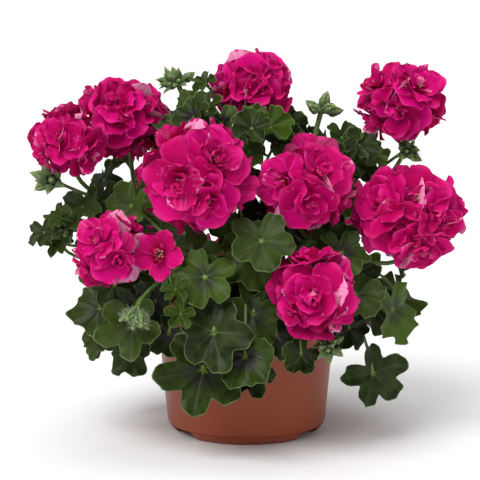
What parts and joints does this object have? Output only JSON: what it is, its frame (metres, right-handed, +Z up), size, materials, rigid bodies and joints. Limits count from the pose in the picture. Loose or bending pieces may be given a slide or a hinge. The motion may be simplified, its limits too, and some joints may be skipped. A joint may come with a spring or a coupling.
{
  "type": "potted ivy-leaved geranium",
  "caption": "Trailing geranium in full flower, a mound of lobed leaves under double magenta flower heads, growing in a round tapered plastic nursery pot that stands on a notched foot.",
  "frame": {"origin": "on the pot's axis, on the surface that the pot's foot stands on", "axes": "+Z up, +X to the right and -Y towards the viewer of the plant's best side"},
  "size_m": [0.2785, 0.2494, 0.2539],
  "materials": {
    "pot": "satin",
    "soil": "matte",
    "leaf": "satin",
    "petal": "matte"
  },
  "bodies": {
    "root": {"pot": "pot", "soil": "soil", "shoot_1": "leaf", "shoot_2": "leaf", "shoot_3": "leaf", "shoot_4": "leaf", "shoot_5": "leaf", "shoot_6": "leaf", "shoot_7": "leaf", "shoot_8": "leaf", "shoot_9": "leaf", "bloom_1": "petal", "bloom_2": "petal", "bloom_3": "petal", "bloom_4": "petal", "bloom_5": "petal", "bloom_6": "petal", "bloom_7": "petal", "bloom_8": "petal", "bloom_9": "petal", "bloom_10": "petal", "bloom_11": "petal", "bloom_12": "petal"}
  },
  "joints": []
}
